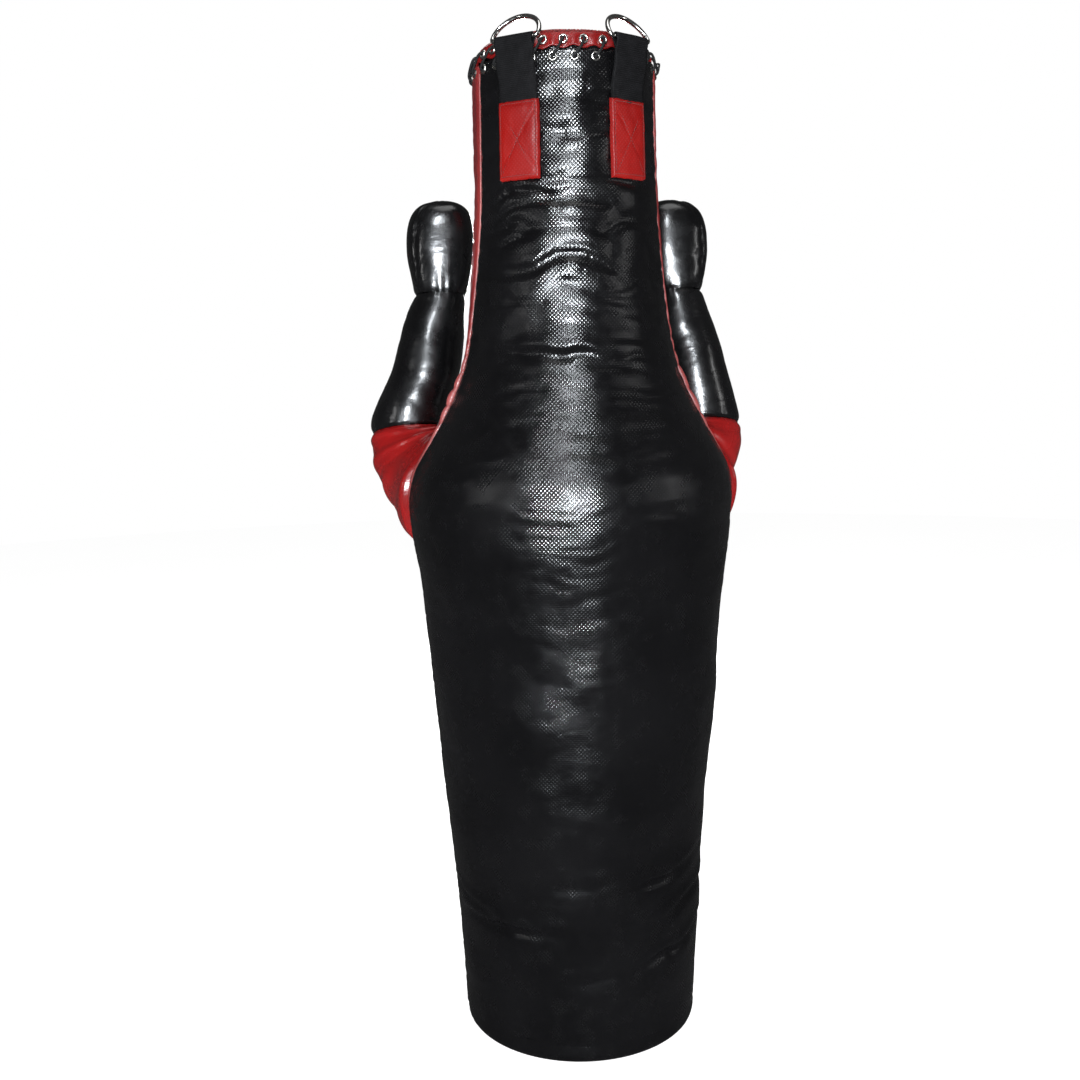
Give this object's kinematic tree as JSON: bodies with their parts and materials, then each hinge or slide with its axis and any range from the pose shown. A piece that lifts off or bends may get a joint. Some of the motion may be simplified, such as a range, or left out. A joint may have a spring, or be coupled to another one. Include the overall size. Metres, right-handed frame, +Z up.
{
  "type": "grappling dummy",
  "caption": "Headless stuffed grappling dummy on a flat base, with two bent stuffed arms held in a guard, a laced lid and webbing straps with D-rings to hang it by.",
  "frame": {"origin": "middle of the flat base, on the floor", "axes": "+Z up, the dummy's back towards -Y, its arms reaching towards +Y, its right arm on +X as seen from behind"},
  "size_m": [0.6288, 0.5039, 1.5447],
  "materials": {
    "back_panel": "satin",
    "front_panel": "satin",
    "base_panel": "satin",
    "side_gusset_left": "satin",
    "side_gusset_right": "satin",
    "lid": "satin",
    "core_fill": "matte",
    "lace": "matte",
    "lid_eyelets": "polished",
    "wall_eyelets": "polished",
    "strap_back_left": "matte",
    "strap_back_right": "matte",
    "strap_front_right": "matte",
    "strap_front_left": "matte",
    "strap_patch_back_left": "satin",
    "strap_patch_back_right": "satin",
    "strap_patch_front_right": "satin",
    "strap_patch_front_left": "satin",
    "d_ring_back_left": "polished",
    "d_ring_back_right": "polished",
    "d_ring_front_right": "polished",
    "d_ring_front_left": "polished",
    "upper_arm_left": "gloss",
    "forearm_left": "gloss",
    "hand_left": "gloss",
    "upper_arm_fill_left": "matte",
    "forearm_fill_left": "matte",
    "hand_fill_left": "matte",
    "upper_arm_right": "gloss",
    "forearm_right": "gloss",
    "hand_right": "gloss",
    "upper_arm_fill_right": "matte",
    "forearm_fill_right": "matte",
    "hand_fill_right": "matte"
  },
  "bodies": {
    "torso": {"back_panel": "back_panel", "front_panel": "front_panel", "side_gusset_left": "side_gusset_left", "side_gusset_right": "side_gusset_right", "base_panel": "base_panel", "core_fill": "core_fill", "lid": "lid", "lid_eyelets": "lid_eyelets", "wall_eyelets": "wall_eyelets", "lace": "lace", "strap_back_left": "strap_back_left", "strap_back_right": "strap_back_right", "strap_front_right": "strap_front_right", "strap_front_left": "strap_front_left", "strap_patch_back_left": "strap_patch_back_left", "strap_patch_back_right": "strap_patch_back_right", "strap_patch_front_right": "strap_patch_front_right", "strap_patch_front_left": "strap_patch_front_left"},
    "upper_arm_left": {"upper_arm_left": "upper_arm_left", "upper_arm_fill_left": "upper_arm_fill_left"},
    "forearm_left": {"forearm_left": "forearm_left", "forearm_fill_left": "forearm_fill_left"},
    "hand_left": {"hand_left": "hand_left", "hand_fill_left": "hand_fill_left"},
    "upper_arm_right": {"upper_arm_right": "upper_arm_right", "upper_arm_fill_right": "upper_arm_fill_right"},
    "forearm_right": {"forearm_right": "forearm_right", "forearm_fill_right": "forearm_fill_right"},
    "hand_right": {"hand_right": "hand_right", "hand_fill_right": "hand_fill_right"},
    "ring_back_left": {"d_ring_back_left": "d_ring_back_left"},
    "ring_back_right": {"d_ring_back_right": "d_ring_back_right"},
    "ring_front_right": {"d_ring_front_right": "d_ring_front_right"},
    "ring_front_left": {"d_ring_front_left": "d_ring_front_left"}
  },
  "joints": [
    {"name": "shoulder_left", "type": "hinge", "parent": "torso", "child": "upper_arm_left", "pos_m": [-0.19, 0.105, 0.865], "axis": [0.7979, 0.6028, 0], "range_deg": [-35, 2], "stiffness_Nm_per_rad": 140},
    {"name": "elbow_left", "type": "hinge", "parent": "upper_arm_left", "child": "forearm_left", "pos_m": [-0.258, 0.195, 0.958], "axis": [0.6751, 0.7115, -0.195], "range_deg": [-50, 4], "stiffness_Nm_per_rad": 45},
    {"name": "wrist_left", "type": "hinge", "parent": "forearm_left", "child": "hand_left", "pos_m": [-0.212, 0.21, 1.172], "axis": [1, 0, 0], "range_deg": [-25, 12], "stiffness_Nm_per_rad": 12},
    {"name": "shoulder_right", "type": "hinge", "parent": "torso", "child": "upper_arm_right", "pos_m": [0.19, 0.105, 0.865], "axis": [0.7979, -0.6028, 0], "range_deg": [-35, 2], "stiffness_Nm_per_rad": 140},
    {"name": "elbow_right", "type": "hinge", "parent": "upper_arm_right", "child": "forearm_right", "pos_m": [0.258, 0.195, 0.958], "axis": [0.6751, -0.7115, 0.195], "range_deg": [-50, 4], "stiffness_Nm_per_rad": 45},
    {"name": "wrist_right", "type": "hinge", "parent": "forearm_right", "child": "hand_right", "pos_m": [0.212, 0.21, 1.172], "axis": [1, 0, 0], "range_deg": [-25, 12], "stiffness_Nm_per_rad": 12},
    {"name": "ring_back_left_swing", "type": "hinge", "parent": "torso", "child": "ring_back_left", "pos_m": [-0.08241, -0.11991, 1.508], "axis": [0.8241, -0.5664, 0], "range_deg": [-15, 180]},
    {"name": "ring_back_right_swing", "type": "hinge", "parent": "torso", "child": "ring_back_right", "pos_m": [0.08241, -0.11991, 1.508], "axis": [0.8241, 0.5664, 0], "range_deg": [-15, 180]},
    {"name": "ring_front_right_swing", "type": "hinge", "parent": "torso", "child": "ring_front_right", "pos_m": [0.08241, 0.11991, 1.508], "axis": [-0.8241, 0.5664, 0], "range_deg": [-15, 180]},
    {"name": "ring_front_left_swing", "type": "hinge", "parent": "torso", "child": "ring_front_left", "pos_m": [-0.08241, 0.11991, 1.508], "axis": [-0.8241, -0.5664, 0], "range_deg": [-15, 180]}
  ]
}
